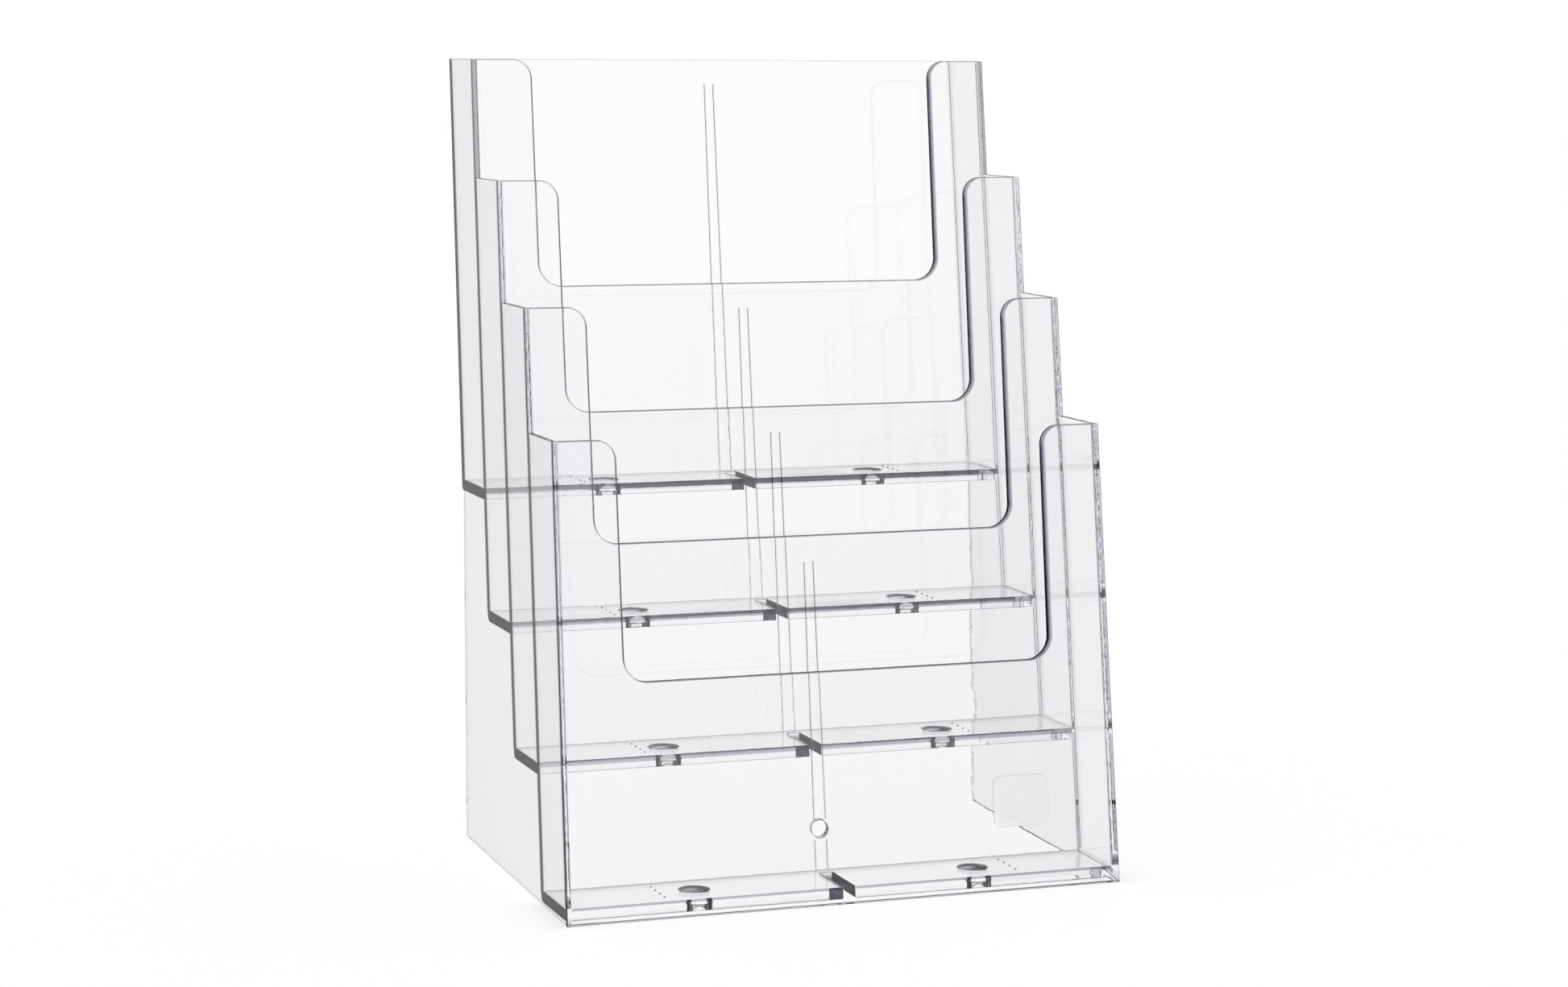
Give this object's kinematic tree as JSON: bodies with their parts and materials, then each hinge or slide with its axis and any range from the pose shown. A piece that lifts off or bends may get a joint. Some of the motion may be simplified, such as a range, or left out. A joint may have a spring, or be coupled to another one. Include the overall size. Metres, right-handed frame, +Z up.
{
  "type": "magazine rack",
  "caption": "Free-standing clear plastic magazine rack with stepped, leaning A4 pockets, wide U cut-outs and slotted floors, open at the back.",
  "frame": {"origin": "under the middle of the bounding box, on the surface that the rack stands on", "axes": "+Z up, the front of the rack looks along -Y, X runs across the pockets"},
  "size_m": [0.236, 0.192, 0.3303],
  "materials": {
    "clear_polystyrene": "gloss",
    "clear_film": "gloss"
  },
  "bodies": {
    "root": {"left_side_panel": "clear_polystyrene", "right_side_panel": "clear_polystyrene", "back_panel": "clear_polystyrene", "pocket_1_front_panel": "clear_polystyrene", "pocket_2_front_panel": "clear_polystyrene", "pocket_3_front_panel": "clear_polystyrene", "pocket_4_front_panel": "clear_polystyrene", "pocket_1_floor": "clear_polystyrene", "pocket_2_floor": "clear_polystyrene", "pocket_3_floor": "clear_polystyrene", "pocket_4_floor": "clear_polystyrene", "blank_label": "clear_film"}
  },
  "joints": []
}
